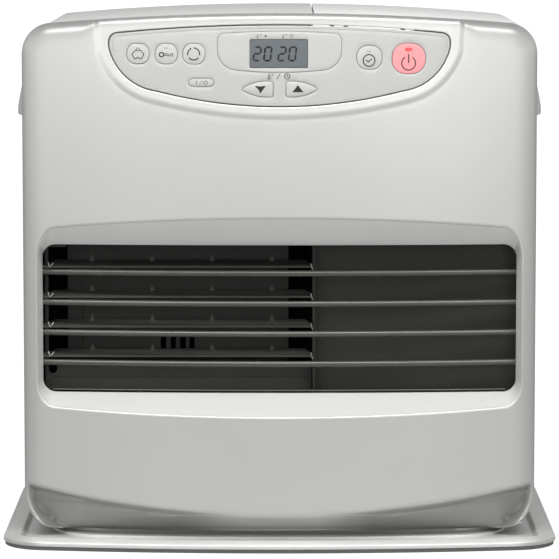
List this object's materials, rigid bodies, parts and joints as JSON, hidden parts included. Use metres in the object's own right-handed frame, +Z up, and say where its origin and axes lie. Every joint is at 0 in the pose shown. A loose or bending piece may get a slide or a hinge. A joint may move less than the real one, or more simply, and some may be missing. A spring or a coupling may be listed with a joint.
{
  "type": "paraffin heater",
  "caption": "Portable forced-air paraffin heater with a bowed front panel, slatted warm-air outlet, crowned control panel, lift-up tank lid and a wide floor tray.",
  "frame": {"origin": "bottom centre of the bounding box, on the floor", "axes": "+X to the viewer's right when facing the controls, -Y towards the viewer, +Z up"},
  "size_m": [0.455, 0.3049, 0.4363],
  "materials": {
    "silver_paint": "silver-white metallic enamel",
    "tray_paint": "light silver enamel",
    "lid_plastic": "silver-white moulding",
    "panel_plastic": "light grey printed panel",
    "button_plastic": "light grey moulding",
    "power_plastic": "translucent pink-red cap",
    "red_lens": "red diffusing lens",
    "display_glass": "blue-grey liquid crystal display",
    "black_sheet": "heat-proof black enamel",
    "rod_steel": "dark olive grey enamel, half gloss",
    "vane_sheet": "dark enamel",
    "handle_plastic": "silver-grey moulding",
    "zinc_sheet": "zinc-plated sheet",
    "tank_sheet": "plated steel with light lacquer",
    "burner_steel": "heat-resisting steel",
    "motor_sheet": "plain steel can",
    "ceramic": "white insulator",
    "black_plastic": "black moulding",
    "white_plastic": "white moulding",
    "board": "green circuit board",
    "copper": "soft copper tube",
    "rubber": "moulded rubber",
    "screw_steel": "bright plated",
    "mesh": "grey filter frame and mesh"
  },
  "bodies": {
    "cabinet": {"base_tray": "tray_paint", "feet": "rubber", "tray_screws": "screw_steel", "front_panel": "silver_paint", "top_plate": "silver_paint", "side_panel_left": "silver_paint", "side_panel_right": "silver_paint", "rear_panel": "zinc_sheet", "handle_left": "handle_plastic", "handle_right": "handle_plastic", "grille_frame": "black_sheet", "grille_rods": "rod_steel", "louvre_vanes": "vane_sheet", "blank_plate": "black_sheet", "outlet_duct": "black_sheet", "heat_shield": "black_sheet", "combustion_chamber": "burner_steel", "burner_pot": "burner_steel", "burner_head": "burner_steel", "igniter": "ceramic", "flame_sensor": "ceramic", "blower_housing": "zinc_sheet", "blower_motor": "motor_sheet", "fuel_tank": "tank_sheet", "fuel_gauge": "white_plastic", "tank_cap": "black_plastic", "fuel_sump": "zinc_sheet", "sump_strainer": "white_plastic", "fuel_pump": "motor_sheet", "fuel_pipe": "copper", "tank_well": "zinc_sheet", "fan_shroud": "zinc_sheet", "fan_motor": "motor_sheet", "fan_bracket": "zinc_sheet", "fan_guard": "motor_sheet", "main_board": "board", "board_carrier": "zinc_sheet", "transformer": "motor_sheet", "cord_gland": "black_plastic", "rear_screws": "screw_steel", "control_panel": "panel_plastic", "display_board": "board", "display_module": "display_glass", "button_switches": "black_plastic", "lid_hinge_pins": "screw_steel", "lid_hinge_bracket": "zinc_sheet"},
    "lid": {"tank_lid": "lid_plastic"},
    "bail": {"tank_handle": "black_plastic"},
    "fan": {"fan_rotor": "black_plastic"},
    "blower": {"blower_wheel": "black_plastic"},
    "filter": {"air_filter": "mesh"},
    "economy": {"economy_button": "button_plastic"},
    "lock": {"lock_button": "button_plastic"},
    "cycle": {"cycle_button": "button_plastic"},
    "mode": {"mode_button": "button_plastic"},
    "down": {"down_button": "button_plastic"},
    "up": {"up_button": "button_plastic"},
    "timer": {"timer_button": "button_plastic"},
    "power": {"power_button": "power_plastic", "power_lens": "red_lens"}
  },
  "joints": [
    {"name": "lid_hinge", "type": "hinge", "parent": "cabinet", "child": "lid", "pos_m": [0.083, 0.131, 0.4255], "axis": [-1, 0, 0], "range_deg": [0, 95]},
    {"name": "bail_hinge", "type": "hinge", "parent": "cabinet", "child": "bail", "pos_m": [0.12, 0.034, 0.37], "axis": [-1, 0, 0], "range_deg": [0, 90]},
    {"name": "fan_spin", "type": "hinge", "parent": "cabinet", "child": "fan", "pos_m": [-0.086, 0.113, 0.232], "axis": [0, 1, 0], "continuous": true},
    {"name": "blower_spin", "type": "hinge", "parent": "cabinet", "child": "blower", "pos_m": [-0.168, 0.02, 0.078], "axis": [0, 1, 0], "continuous": true},
    {"name": "filter_slide", "type": "slide", "parent": "cabinet", "child": "filter", "axis": [0, 1, 0], "range_m": [0, 0.04]},
    {"name": "economy_press", "type": "slide", "parent": "cabinet", "child": "economy", "axis": [0, 1, 0], "range_m": [0, 0.001], "stiffness_N_per_m": 900},
    {"name": "lock_press", "type": "slide", "parent": "cabinet", "child": "lock", "axis": [0, 1, 0], "range_m": [0, 0.001], "stiffness_N_per_m": 900},
    {"name": "cycle_press", "type": "slide", "parent": "cabinet", "child": "cycle", "axis": [0, 1, 0], "range_m": [0, 0.001], "stiffness_N_per_m": 900},
    {"name": "mode_press", "type": "slide", "parent": "cabinet", "child": "mode", "axis": [0, 1, 0], "range_m": [0, 0.001], "stiffness_N_per_m": 900},
    {"name": "down_press", "type": "slide", "parent": "cabinet", "child": "down", "axis": [0, 1, 0], "range_m": [0, 0.001], "stiffness_N_per_m": 900},
    {"name": "up_press", "type": "slide", "parent": "cabinet", "child": "up", "axis": [0, 1, 0], "range_m": [0, 0.001], "stiffness_N_per_m": 900},
    {"name": "timer_press", "type": "slide", "parent": "cabinet", "child": "timer", "axis": [0, 1, 0], "range_m": [0, 0.001], "stiffness_N_per_m": 900},
    {"name": "power_press", "type": "slide", "parent": "cabinet", "child": "power", "axis": [0, 1, 0], "range_m": [0, 0.001], "stiffness_N_per_m": 900}
  ]
}
